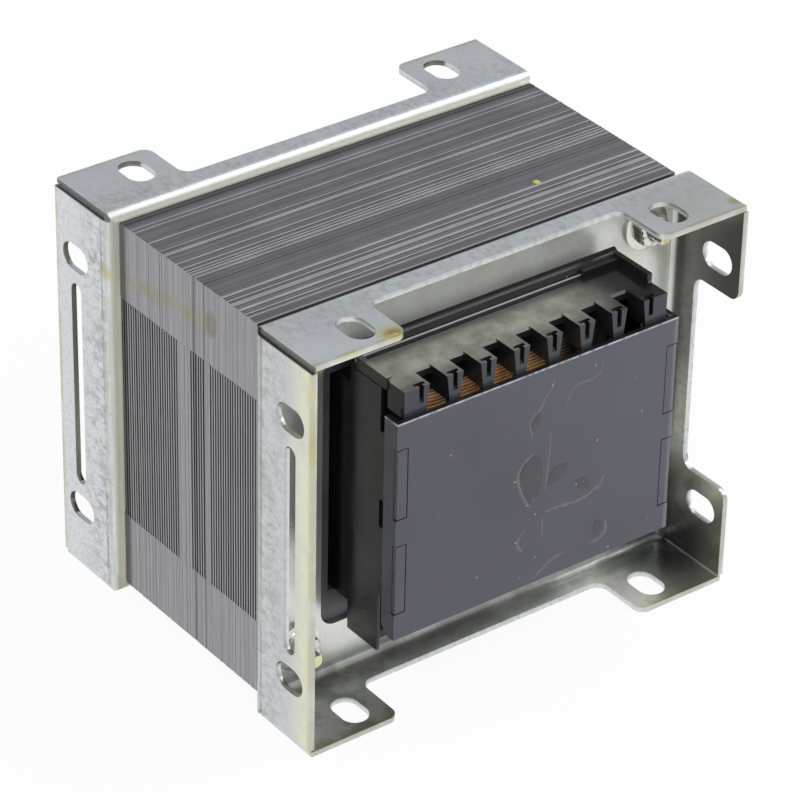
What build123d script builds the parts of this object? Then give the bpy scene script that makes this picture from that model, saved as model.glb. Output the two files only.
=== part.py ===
from build123d import *
from math import atan2, degrees
import os

# Chassis mount transformer: an interleaved EI core held between two pressed end frames,
# with a moulded bobbin whose coil axis is vertical. Millimetres, +Z up, the seen coil end faces -Y,
# origin on the floor below the middle of the stack.

# Lamination (EI 85.8 pattern) and stack
leg = 14.3                      # width of an outer leg and of a yoke, half of the centre leg
stack_depth = 39.2
packet_count = 28               # packets of four 0.35 mm sheets, laid alternately
groove_width = 0.3              # between packets, on the outer edges
groove_depth = 0.35
core_hole = 4.5                 # for the clamp bolts
bore_facets = 12                # sides of the small hidden bores and of the bolt shanks

# End frames
plate = 1.0
bend_radius = 3.3               # outside of the bends
side_inset = 1.6                # core edge to flange outer face, left and right
top_inset = 1.1                 # the same at the top
bottom_inset = 2.7              # the same at the foot
flange_depth = 17.05            # stack face to free edge
ear_length = 18.5
strip_depth = 5.9               # flange left between the ears, from the stack face
ear_root_radius = 2.3
ear_tip_radius = 2.0
slot_width = 5.0
slot_length = 7.5
slot_setback = 5.8              # slot centre to free edge
slot_end_x = 12.5               # slot centre to flange end, top and bottom flanges
slot_end_z = 12.65              # slot centre to flange end, side flanges
long_slot_length = 40.0
long_slot_width = 3.0
corner_slit = 0.3               # between a side flange and the ends of the top and bottom flanges
slit_setback = 2.3              # slit end to the stack face
end_inset = 0.5                 # those ends behind the side flange's outer face
frame_hole = 3.4                # for the clamp bolts
ring_side_band = 13.8           # flange outer face to window
ring_top_band = 11.1
ring_corner_radius = 3.0

# Bobbin
tube_clearance = 0.3            # to the centre leg
riser_gap = 2.45                # riser to the end frame
tube_wall = 1.2
flange_clearance = 0.2          # to the yokes
flange_wall = 0.8
riser_wall = 1.55
terminal_wall = 1.6             # thickness of the terminal plate
terminal_rise = 4.85            # plate top above the core window
ridge_height = 2.0
left_lip_height = 0.6
right_lip_height = 1.55
lip_wall = 1.0
pad_length = 8.5
pad_height = 1.05
foot_drop = 5.0                 # bottom plate below the core window
foot_wall = 1.4
foot_depth = 6.4
comb_proud = 0.7                # comb front past the frame's free edge
tooth_count = 8
tooth_height = 4.95
tooth_depth = 4.4
notch_width = 3.5               # at the top
notch_flare = 0.62              # widening of each notch side at the foot of the teeth
notch_chamfer = 0.4
tag_slit_width = 0.9
tag_slit_depth = 3.1
tag_pocket_width = 2.2
tag_pocket_wall = 0.55          # between pocket and comb front
tag_pocket_thickness = 0.7

# Windings
primary_build = 4.6
insulation_build = 0.4
secondary_build = 4.6
layer_gap = 0.05

# Side liners and covers
core_gap = 1.3                  # liner to the outer leg
liner_wall = 0.7
liner_gap = 0.3                 # liner to bobbin
liner_drop = 5.4                # liner foot below the core window
liner_setback = 5.1             # liner front edge behind the frame's free edge
cover_wall = 0.9
cover_proud = 1.7               # cover front past the frame's free edge
cover_overhang = 1.7            # cover side past the liner
cover_return = 2.55             # depth of the side returns behind the cover plate
cover_lap = 0.2                 # cover top above the foot of the teeth
cover_foot = 1.2                # cover foot above the lower edge of the core window
cover_chamfer = 1.8             # lower back corner of the side returns
shelf_length = 2.2              # small shelf below each tooth
shelf_depth = 1.1
shelf_wall = 0.6
latch_length = 13.4
latch_margin = 5.0              # latch to cover end
latch_width = 2.3               # window width on the cover front
latch_gap = 0.15

# Fasteners and tags
bolt_diameter = 3.0
bolt_proud = 2.8                # past the nut
head_height = 2.0
nut_height = 2.4
hex_flats = 5.5
thread_gap = 0.05
washer_diameter = 9.0
washer_facets = 30              # sides of the washers' rims
washer_bore = 3.3
washer_wall = 0.8
tag_thickness = 0.5
tag_root_width = 1.9
tag_root_length = 3.0           # below the top of the terminal plate
tag_rise = 0.6                  # folded blade above the terminal plate
tag_width = 2.8
tag_length = 5.0
tag_eye = 1.3
tagged_teeth = "x-x--x-x"       # teeth of the rear comb from left to right, x with a tag

# Derived sizes and places
core_width = 6 * leg
core_height = 5 * leg
window_height = 3 * leg
packet = stack_depth / packet_count
frame_width = core_width + 2 * side_inset
frame_height = core_height + top_inset + bottom_inset
mid_height = frame_height / 2
core_middle = bottom_inset + core_height / 2
stack_face = -stack_depth / 2
ring_face = stack_face - plate
free_edge = stack_face - flange_depth
slot_row = free_edge + slot_setback
window_top = core_middle + window_height / 2
window_bottom = core_middle - window_height / 2
bolt_spacing_x = 5 * leg
bolt_spacing_z = 4 * leg

tube_inner_x = leg + tube_clearance
tube_inner_y = stack_depth / 2 + tube_clearance
tube_outer_x = tube_inner_x + tube_wall
tube_outer_y = tube_inner_y + tube_wall
liner_outer = 2 * leg - core_gap
liner_inner = liner_outer - liner_wall
bobbin_half = liner_inner - liner_gap
riser_back = ring_face - riser_gap
riser_front = riser_back - riser_wall
flange_top = window_top - flange_clearance
flange_bottom = window_bottom + flange_clearance
winding_top = flange_top - flange_wall
winding_bottom = flange_bottom + flange_wall
terminal_top = window_top + terminal_rise
terminal_under = terminal_top - terminal_wall
foot_bottom = window_bottom - foot_drop
comb_front = free_edge - comb_proud
comb_back = comb_front + tooth_depth
tooth_foot = terminal_top - tooth_height
comb_half = liner_outer - liner_gap
tooth_pitch = 2 * comb_half / tooth_count
pocket_front = comb_front + tag_pocket_wall

liner_front = free_edge + liner_setback
liner_shoulder = riser_back - liner_gap
liner_top = terminal_under - flange_clearance
liner_foot = window_bottom - liner_drop
cover_front = free_edge - cover_proud
cover_back = cover_front + cover_wall
cover_half = liner_outer + cover_overhang
cover_top = tooth_foot + cover_lap
cover_bottom = window_bottom + cover_foot
latch_centres = (
    cover_bottom + latch_margin + latch_length / 2,
    cover_top - latch_margin - latch_length / 2,
)
washer_face = ring_face - washer_wall
nut_face = washer_face - nut_height


def xz_plane(y, z=mid_height):
    """Plane across the stack at depth y, about height z, seen from the front: local x, y are +X, +Z."""
    return Plane(origin=(0, y, z), x_dir=(1, 0, 0), z_dir=(0, -1, 0))


def yz_plane(x):
    """Plane along the stack at x: local x is +Y, local y is +Z."""
    return Plane(origin=(x, 0, mid_height), x_dir=(0, 1, 0), z_dir=(1, 0, 0))


def block(x_range, y_range, z_range, mode=Mode.ADD):
    """A rectangular block between two values on each axis, in the current part."""
    size = [high - low for low, high in (x_range, y_range, z_range)]
    middle = [(high + low) / 2 for low, high in (x_range, y_range, z_range)]
    with Locations(tuple(middle)):
        Box(*size, mode=mode)


# Lamination stack: the EI outline through the stack, then a groove round it between packets
with BuildPart() as lamination_stack:
    with BuildSketch(xz_plane(0, core_middle)):
        Rectangle(core_width, core_height)
        with GridLocations(3 * leg, 0, 2, 1):
            Rectangle(leg, window_height, mode=Mode.SUBTRACT)
        with GridLocations(bolt_spacing_x, bolt_spacing_z, 2, 2):
            RegularPolygon(core_hole / 2, bore_facets, major_radius=False, mode=Mode.SUBTRACT)
    extrude(amount=stack_depth / 2, both=True)
    joints = [stack_face + index * packet + groove_width / 2 for index in range(1, packet_count)]
    with BuildSketch(*[xz_plane(joint, core_middle) for joint in joints]):
        Rectangle(core_width, core_height)
        Rectangle(core_width - 2 * groove_depth, core_height - 2 * groove_depth, mode=Mode.SUBTRACT)
    extrude(amount=groove_width, mode=Mode.SUBTRACT)
lamination_stack.part.label = "lamination_stack"

# Front end frame: a folded tray, its window and bolt holes, then the ears, slots and corner slits
gap_x = frame_width - 2 * ear_length
gap_z = frame_height - 2 * ear_length
gap_depth = flange_depth - strip_depth
gap_middle = free_edge + gap_depth / 2
with BuildPart() as front_frame:
    with BuildSketch(xz_plane(stack_face)):
        Rectangle(frame_width, frame_height)
    extrude(amount=flange_depth)
    fillet(front_frame.faces().sort_by(Axis.Y)[-1].edges(), radius=bend_radius)
    offset(amount=-plate, openings=front_frame.faces().sort_by(Axis.Y)[0])
    with BuildSketch(xz_plane(stack_face)):
        RectangleRounded(
            frame_width - 2 * ring_side_band,
            frame_height - 2 * ring_top_band,
            ring_corner_radius,
        )
    extrude(amount=plate, mode=Mode.SUBTRACT)
    with BuildSketch(xz_plane(stack_face, core_middle)):
        with GridLocations(bolt_spacing_x, bolt_spacing_z, 2, 2):
            RegularPolygon(frame_hole / 2, bore_facets, major_radius=False)
    extrude(amount=plate, mode=Mode.SUBTRACT)
    with BuildSketch(Plane.XY) as top_and_bottom_gap:
        with Locations((0, gap_middle)):
            Rectangle(gap_x, gap_depth)
        fillet(top_and_bottom_gap.vertices().group_by(Axis.Y)[-1], radius=ear_root_radius)
    extrude(amount=frame_height, mode=Mode.SUBTRACT)
    with BuildSketch(yz_plane(frame_width / 2 - plate)) as right_gap:
        with Locations((gap_middle, 0)):
            Rectangle(gap_depth, gap_z)
        fillet(right_gap.vertices().group_by(Axis.Y)[-1], radius=ear_root_radius)
    extrude(amount=plate, mode=Mode.SUBTRACT)
    tips = front_frame.edges().group_by(Axis.Y)[0].filter_by(lambda edge: edge.length < 1.5 * plate)
    inner_tips = tips.filter_by(lambda tip: abs(tip.center().X) < frame_width / 2 - ear_length + plate)
    side_tips = tips.filter_by(lambda tip: abs(tip.center().Z - mid_height) < gap_z / 2 + plate)
    fillet(inner_tips + side_tips, radius=ear_tip_radius)
    with BuildSketch(Plane.XY):
        with Locations((0, slot_row)):
            with GridLocations(frame_width - 2 * slot_end_x, 0, 2, 1):
                SlotOverall(slot_length, slot_width, rotation=90)
    extrude(amount=frame_height, mode=Mode.SUBTRACT)
    with BuildSketch(yz_plane(-frame_width / 2)):
        with Locations((slot_row, 0)):
            with GridLocations(0, frame_height - 2 * slot_end_z, 1, 2):
                SlotOverall(slot_length, slot_width)
    extrude(amount=frame_width, mode=Mode.SUBTRACT)
    with BuildSketch(yz_plane(-frame_width / 2)):
        with Locations((slot_row, 0)):
            SlotOverall(long_slot_length, long_slot_width, rotation=90)
    extrude(amount=plate, mode=Mode.SUBTRACT)
    slit_end = stack_face - slit_setback
    for side in (-1, 1):
        outer_x = side * frame_width / 2
        slit_x = sorted((outer_x, outer_x - side * bend_radius))
        end_x = sorted((outer_x, outer_x - side * end_inset))
        for low in (plate, frame_height - plate - corner_slit):
            block(slit_x, (free_edge, slit_end), (low, low + corner_slit), mode=Mode.SUBTRACT)
        for low in (0, frame_height - plate):
            block(end_x, (free_edge, slit_end), (low, low + plate), mode=Mode.SUBTRACT)
front_frame.part.label = "front_frame"

# Rear end frame: the mirror image
with BuildPart() as rear_frame:
    mirror(front_frame.part, about=Plane.XZ)
rear_frame.part.label = "rear_frame"

# Bobbin: tube and flanges in the core window, then one terminal end, mirrored to the rear
tooth_places = [(index - (tooth_count - 1) / 2) * tooth_pitch for index in range(tooth_count)]
notch_foot = notch_width + 2 * notch_flare
notch_angle = degrees(atan2(tooth_height, notch_flare))
notch_places = [(index - tooth_count / 2) * tooth_pitch for index in range(1, tooth_count)]
with BuildPart() as bobbin:
    with BuildSketch(Plane.XY.offset(flange_bottom)):
        Rectangle(2 * tube_outer_x, 2 * tube_outer_y)
    extrude(amount=flange_top - flange_bottom)
    for level in (flange_bottom, winding_top):
        block((-bobbin_half, bobbin_half), (riser_front, -riser_front), (level, level + flange_wall))
    # The riser in front of the ring plate, the terminal plate with its ridge and lips, and the foot plate
    block((-bobbin_half, bobbin_half), (riser_front, riser_back), (foot_bottom, winding_bottom))
    block((-bobbin_half, bobbin_half), (riser_front, riser_back), (winding_top, terminal_top))
    block((-liner_outer, liner_outer), (comb_back, riser_back), (terminal_under, terminal_top))
    ridge_top = terminal_top + ridge_height
    with BuildSketch(Plane(origin=(-liner_outer, 0, 0), x_dir=(0, 1, 0), z_dir=(1, 0, 0))):
        with BuildLine():
            Line((riser_back, terminal_top), (riser_front, terminal_top))
            TangentArc((riser_front, terminal_top), (riser_back, ridge_top), tangent=(0, 1))
            Line((riser_back, ridge_top), (riser_back, terminal_top))
        make_face()
    extrude(amount=2 * liner_outer)
    lip_run = (comb_back, riser_back)
    block((-liner_outer, -liner_outer + lip_wall), lip_run, (terminal_top, terminal_top + left_lip_height))
    block((liner_outer - lip_wall, liner_outer), lip_run, (terminal_top, terminal_top + right_lip_height))
    pad_run = (riser_front - lip_wall, riser_front)
    block((liner_outer - pad_length, liner_outer), pad_run, (terminal_top, terminal_top + pad_height))
    foot_run = (riser_back - foot_depth, riser_back)
    block((-bobbin_half, bobbin_half), foot_run, (foot_bottom, foot_bottom + foot_wall))
    # The comb: a bar cut by flared notches, then a slit and a pocket for a tag in every tooth
    block((-comb_half, comb_half), (comb_front, comb_back), (tooth_foot, terminal_top))
    with BuildSketch(xz_plane(comb_back)):
        with Locations(*[(place, tooth_foot - mid_height) for place in notch_places]):
            Trapezoid(notch_foot, tooth_height, notch_angle, align=(Align.CENTER, Align.MIN))
    extrude(amount=tooth_depth, mode=Mode.SUBTRACT)
    plate_edges = bobbin.edges().filter_by(Axis.X).filter_by_position(Axis.Z, terminal_top, terminal_top)
    chamfer(plate_edges.filter_by_position(Axis.Y, comb_back, comb_back), length=notch_chamfer)
    for place in tooth_places:
        slit = (place - tag_slit_width / 2, place + tag_slit_width / 2)
        pocket = (place - tag_pocket_width / 2, place + tag_pocket_width / 2)
        depth = (terminal_top - tag_slit_depth, terminal_top)
        block(slit, (comb_front, pocket_front), depth, mode=Mode.SUBTRACT)
        block(pocket, (pocket_front, pocket_front + tag_pocket_thickness), depth, mode=Mode.SUBTRACT)
    mirror(about=Plane.XZ)
    # The opening for the centre leg goes through tube and flanges
    with BuildSketch(Plane.XY.offset(flange_bottom)):
        Rectangle(2 * tube_inner_x, 2 * tube_inner_y)
    extrude(amount=flange_top - flange_bottom, mode=Mode.SUBTRACT)
bobbin.part.label = "bobbin"


def winding(name, gap, build):
    """A ring of turns round the tube, between the flanges: gap from the tube outside, build thick."""
    inner_size = (2 * (tube_outer_x + gap), 2 * (tube_outer_y + gap))
    with BuildPart() as ring:
        with BuildSketch(Plane.XY.offset(winding_bottom + layer_gap)):
            RectangleRounded(inner_size[0] + 2 * build, inner_size[1] + 2 * build, gap + build)
            if gap > layer_gap:
                RectangleRounded(*inner_size, gap, mode=Mode.SUBTRACT)
            else:
                Rectangle(*inner_size, mode=Mode.SUBTRACT)
        extrude(amount=winding_top - winding_bottom - 2 * layer_gap)
    ring.part.label = name
    return ring.part


primary_gap = layer_gap
insulation_gap = primary_gap + primary_build + layer_gap
secondary_gap = insulation_gap + insulation_build + layer_gap
primary_winding = winding("primary_winding", primary_gap, primary_build)
interwinding_insulation = winding("interwinding_insulation", insulation_gap, insulation_build)
secondary_winding = winding("secondary_winding", secondary_gap, secondary_build)

# Front cover: a plate with side returns, latch windows at its edges and a shelf below each tooth
with BuildPart() as front_cover:
    cover_plane = Plane(
        origin=(0, cover_front, (cover_top + cover_bottom) / 2), x_dir=(1, 0, 0), z_dir=(0, -1, 0)
    )
    with BuildSketch(cover_plane):
        Rectangle(2 * cover_half, cover_top - cover_bottom)
    extrude(amount=-(cover_wall + cover_return))
    hollow_half = cover_half - cover_wall
    hollow_run = (cover_back, cover_back + cover_return)
    block((-hollow_half, hollow_half), hollow_run, (cover_bottom, cover_top), mode=Mode.SUBTRACT)
    return_ends = front_cover.faces().sort_by(Axis.Y)[-2:].edges().filter_by(Axis.X)
    chamfer(return_ends.group_by(Axis.Z)[0], length=cover_chamfer)
    for side in (-1, 1):
        window = sorted((side * cover_half, side * (cover_half - latch_width)))
        for centre in latch_centres:
            reach = (centre - latch_length / 2, centre + latch_length / 2)
            block(window, (cover_front, cover_back), reach, mode=Mode.SUBTRACT)
    for place in tooth_places:
        shelf = (place - shelf_length / 2, place + shelf_length / 2)
        shelf_top = tooth_foot - flange_clearance
        block(shelf, (cover_back, cover_back + shelf_depth), (shelf_top - shelf_wall, shelf_top))
front_cover.part.label = "front_cover"

with BuildPart() as rear_cover:
    mirror(front_cover.part, about=Plane.XZ)
rear_cover.part.label = "rear_cover"

# Side liners: a sheet through the core window, deeper outside it, with latch tongues at both ends
with BuildPart() as left_side_liner:
    wall = (-liner_outer, -liner_inner)
    slot_half = window_height / 2 - flange_clearance
    block(wall, (liner_shoulder, -liner_shoulder), (core_middle - slot_half, core_middle + slot_half))
    block(wall, (liner_front, liner_shoulder), (liner_foot, liner_top))
    for centre in latch_centres:
        reach = (
            centre - latch_length / 2 + latch_gap,
            centre + latch_length / 2 - latch_gap,
        )
        latch_inner = -cover_half + latch_width - latch_gap
        block((-liner_outer, latch_inner), (cover_back, liner_front), reach)
        block((-cover_half + latch_gap, latch_inner), (cover_front, cover_back), reach)
    mirror(about=Plane.XZ)
left_side_liner.part.label = "left_side_liner"

with BuildPart() as right_side_liner:
    mirror(left_side_liner.part, about=Plane.YZ)
right_side_liner.part.label = "right_side_liner"

# Fasteners: four through bolts along the stack, heads at the rear, washers and nuts at the front
with BuildPart() as clamp_bolts:
    with BuildSketch(xz_plane(-ring_face, core_middle)):
        with GridLocations(bolt_spacing_x, bolt_spacing_z, 2, 2):
            RegularPolygon(hex_flats / 2, 6, major_radius=False)
    extrude(amount=-head_height)
    with BuildSketch(xz_plane(-ring_face, core_middle)):
        with GridLocations(bolt_spacing_x, bolt_spacing_z, 2, 2):
            RegularPolygon(bolt_diameter / 2, bore_facets)
    extrude(amount=-ring_face - nut_face + bolt_proud)
clamp_bolts.part.label = "clamp_bolts"

with BuildPart() as clamp_nuts:
    with BuildSketch(xz_plane(washer_face, core_middle)):
        with GridLocations(bolt_spacing_x, bolt_spacing_z, 2, 2):
            RegularPolygon(hex_flats / 2, 6, major_radius=False)
            RegularPolygon(bolt_diameter / 2 + thread_gap, bore_facets, mode=Mode.SUBTRACT)
    extrude(amount=nut_height)
clamp_nuts.part.label = "clamp_nuts"

with BuildPart() as front_washers:
    with BuildSketch(xz_plane(ring_face, core_middle)):
        with GridLocations(bolt_spacing_x, bolt_spacing_z, 2, 2):
            RegularPolygon(washer_diameter / 2, washer_facets)
            RegularPolygon(washer_bore / 2, bore_facets, mode=Mode.SUBTRACT)
    extrude(amount=washer_wall)
front_washers.part.label = "front_washers"

# Terminal tags at the rear comb: a root in the tooth's pocket, a blade with an eye folded in over the plate
tag_back = -pocket_front - (tag_pocket_thickness - tag_thickness) / 2
tag_front = tag_back - tag_length
tag_level = terminal_top + tag_rise
tag_places = [place for place, mark in zip(tooth_places, tagged_teeth) if mark == "x"]
with BuildPart() as terminal_tags:
    for place in tag_places:
        root = (place - tag_root_width / 2, place + tag_root_width / 2)
        blade = (place - tag_width / 2, place + tag_width / 2)
        block(root, (tag_back - tag_thickness, tag_back), (terminal_top - tag_root_length, tag_level))
        block(blade, (tag_front, tag_back), (tag_level, tag_level + tag_thickness))
    with BuildSketch(Plane.XY.offset(tag_level)):
        with Locations(*[(place, tag_front + tag_width / 2) for place in tag_places]):
            RegularPolygon(tag_eye / 2, bore_facets)
    extrude(amount=tag_thickness, mode=Mode.SUBTRACT)
terminal_tags.part.label = "terminal_tags"

# One file for each piece
os.makedirs("parts", exist_ok=True)
pieces = (
    lamination_stack.part,
    front_frame.part,
    rear_frame.part,
    bobbin.part,
    primary_winding,
    interwinding_insulation,
    secondary_winding,
    front_cover.part,
    rear_cover.part,
    left_side_liner.part,
    right_side_liner.part,
    clamp_bolts.part,
    clamp_nuts.part,
    front_washers.part,
    terminal_tags.part,
)
for piece in pieces:
    export_step(piece, f"parts/{piece.label}.step")
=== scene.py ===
import math
import random

import bmesh
import bpy
from mathutils import Matrix, Vector
from mathutils.geometry import tessellate_polygon


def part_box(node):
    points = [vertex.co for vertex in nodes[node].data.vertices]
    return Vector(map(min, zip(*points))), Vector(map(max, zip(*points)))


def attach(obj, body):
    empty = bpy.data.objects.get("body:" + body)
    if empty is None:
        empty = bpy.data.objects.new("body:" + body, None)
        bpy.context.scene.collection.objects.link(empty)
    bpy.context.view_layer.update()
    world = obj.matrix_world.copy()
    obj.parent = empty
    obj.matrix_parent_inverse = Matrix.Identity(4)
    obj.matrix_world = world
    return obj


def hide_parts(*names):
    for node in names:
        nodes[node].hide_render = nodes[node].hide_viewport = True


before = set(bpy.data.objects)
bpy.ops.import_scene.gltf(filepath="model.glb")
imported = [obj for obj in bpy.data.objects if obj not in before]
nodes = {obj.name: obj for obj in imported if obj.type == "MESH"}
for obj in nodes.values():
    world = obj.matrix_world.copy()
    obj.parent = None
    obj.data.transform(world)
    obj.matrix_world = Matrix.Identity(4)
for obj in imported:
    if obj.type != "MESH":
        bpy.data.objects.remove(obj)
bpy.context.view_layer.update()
rng = random.Random(41)
MM = 0.001

# Sizes repeated from the part's source, in millimetres like all sizes of the part below
LEG = 14.3
STACK = 39.2
BASE = 2.7
BOLT_X = 35.75
BOLT_Z = (9.85, 67.05)
RING_FACE = -20.6
WASHER = 0.8
WASHER_R = 4.5
NUT = 2.4
FLATS = 5.5
BOLT_R = 1.5
BOLT_PROUD = 2.8
HEAD = 2.0
COVER_FRONT = -38.35
FRAME_TOP = 75.3

# Rounding of the solids' edges, and the sharp roots of the lower right ears as (x, |y|, z)
FRAME_EDGE = 0.16
BOBBIN_EDGE = 0.14
COVER_EDGE = 0.28
LINER_EDGE = 0.1
TAG_EDGE = 0.08
EDGE_ANGLE = 32
EAR_ROOT = (44.0, 25.5, 18.5)
EAR_ROOT_R = 2.3
ROOT_REACH = 0.6
# The liners' latch tongues stand farther out than this
TONGUE_DEPTH = 37.3

# Sheets of the core
SHEET_COUNT = 112
LEG_RECESS = 0.38
JOINT_GAP = 0.06
SHEET_GAP = 0.015
WIDE_GAP = 0.09
HOLE_R = 2.4
HOLE_SIDES = 12
JOG = 0.012
JOG_LIMIT = 0.03
LIGHT_PROUD = 0.06
# Spans of depth where all legs lie level, and where the gaps between sheets are wide
LEVEL_SPANS = ((-0.8, 2.8), (-6.0, -4.6))
WIDE_SPANS = ((-2.2, -1.3), (-4.8, -4.5))
# Depths of the sheets whose upper edges stand a little proud and carry a painted highlight
LIGHT_SHEETS = (
    -19.3, -17.4, -16.2, -15.0, -14.4, -13.2, -12.6, -11.4, -9.8, -2.4, -1.75, -1.1, -0.45, 0.1, 1.2, 3.1,
    6.0, 6.6, 7.9, 10.9, 15.1, 16.4, 18.6,
)
# Brightness of the sheets' edges, as middle and spread: the proud tops get a painted highlight, and painted
# shade keeps the other tops darker than the sides
LIGHT_TONE = (1.65, 0.1)
TOP_TONE = (0.76, 0.06)
SIDE_TONE = (1.22, 0.06)
SIDE_TONE_LOW = 1.0
SIDE_TONE_HIGH = 1.45

# Turns of the secondary: the inner layers are laid in the rows at the coil's two ends only
WIRE_R = 0.28
TURN_GAP = 0.07
TURN_WANDER = 0.05
LAYERS = 6
LAYERED_DEPTH = 4.6
COIL_CORNER = 9.75
LAST_LOW_ROW = 3
HIGH_ROWS = 2

# Heights of the dried film on the cover, and how deep its edges are sunk
RUN_RISE = 0.11
POOL_RISE = 0.05
SPECK_RISE = 0.08
FILM_SUNK = 0.01

# Most of a noise texture's values lie between these
NOISE_LOW = 0.3
NOISE_HIGH = 0.7


# Mesh helpers

def linked(name, data):
    """An object with this data, in the scene."""
    piece = bpy.data.objects.new(name, data)
    bpy.context.scene.collection.objects.link(piece)
    return piece


def shade_smooth(mesh):
    mesh.polygons.foreach_set("use_smooth", [True] * len(mesh.polygons))


def reworked(piece, change):
    """Runs a change on the faces and edges of a piece."""
    bm = bmesh.new()
    bm.from_mesh(piece.data)
    change(bm)
    bm.to_mesh(piece.data)
    bm.free()


def faced_out(bm):
    bmesh.ops.recalc_face_normals(bm, faces=bm.faces)


def add_mesh(name, shape, material, smooth=True, sharp=40):
    """A mesh piece from points in millimetres and faces, riding on the part."""
    verts, faces = shape
    mesh = bpy.data.meshes.new(name)
    mesh.from_pydata([(x * MM, y * MM, z * MM) for x, y, z in verts], [], faces)
    mesh.update()
    piece = linked(name, mesh)
    mesh.materials.append(material)
    if smooth:
        shade_smooth(mesh)
        mesh.set_sharp_from_angle(angle=math.radians(sharp))
    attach(piece, "root")
    return piece


def near_root(edge):
    """True for an edge whose two ends lie at the root of an ear."""
    root = [part * MM for part in EAR_ROOT]
    return all(
        math.dist((vert.co.x, abs(vert.co.y), vert.co.z), root) < ROOT_REACH * MM for vert in edge.verts
    )


def dressed(node, width, material, segments=2, roots=False):
    """The node's own form with its hard edges rounded by width, in place of the node.

    With roots, the sharp roots of its lower right ears get a radius of their own.
    """
    bm = bmesh.new()
    bm.from_mesh(nodes[node].data)
    bmesh.ops.remove_doubles(bm, verts=bm.verts, dist=1e-6)
    bmesh.ops.dissolve_limit(bm, angle_limit=math.radians(0.5), verts=bm.verts, edges=bm.edges)
    if roots:
        corner = [edge for edge in bm.edges if near_root(edge)]
        bmesh.ops.bevel(bm, geom=corner, offset=EAR_ROOT_R * MM, segments=7, profile=0.5, affect="EDGES")
    mesh = bpy.data.meshes.new(node + "_form")
    bm.to_mesh(mesh)
    bm.free()
    piece = linked(node + "_form", mesh)
    shade_smooth(mesh)
    bevel = piece.modifiers.new("round", "BEVEL")
    bevel.limit_method = "ANGLE"
    bevel.angle_limit = math.radians(EDGE_ANGLE)
    bevel.width = width * MM
    bevel.segments = segments
    bevel.miter_outer = "MITER_ARC"
    weigh = piece.modifiers.new("flat", "WEIGHTED_NORMAL")
    weigh.mode = "FACE_AREA"
    weigh.weight = 60
    depsgraph = bpy.context.evaluated_depsgraph_get()
    rounded = bpy.data.meshes.new_from_object(piece.evaluated_get(depsgraph))
    piece.modifiers.clear()
    piece.data = rounded
    rounded.materials.clear()
    rounded.materials.append(material)
    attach(piece, "root")
    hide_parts(node)
    return piece


def ring_faces(rows, count):
    """Faces between neighbouring closed rings of count points."""
    faces = []
    for row in range(rows - 1):
        for k in range(count):
            a = row * count + k
            b = row * count + (k + 1) % count
            faces.append((a, b, b + count, a + count))
    return faces


def lathe(profile, sides, centre):
    """Points and faces of a profile of (radius, y) turned about a line along Y through centre (x, z)."""
    verts = []
    for radius, depth in profile:
        for k in range(sides):
            turn = 2 * math.pi * k / sides
            verts.append((centre[0] + radius * math.cos(turn), depth, centre[1] + radius * math.sin(turn)))
    return verts, ring_faces(len(profile), sides)


def joined(parts):
    """One list of points and faces from several."""
    verts = []
    faces = []
    for part_verts, part_faces in parts:
        base = len(verts)
        verts.extend(part_verts)
        faces.extend(tuple(i + base for i in face) for face in part_faces)
    return verts, faces


# Shader helpers

def set_stops(ramp, stops):
    """Gives a colour ramp these stops of (place, colour)."""
    ramp.elements.remove(ramp.elements[1])
    first_place, first_colour = stops[0]
    ramp.elements[0].position = first_place
    ramp.elements[0].color = (*first_colour, 1.0)
    for place, colour in stops[1:]:
        ramp.elements.new(place).color = (*colour, 1.0)


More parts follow.
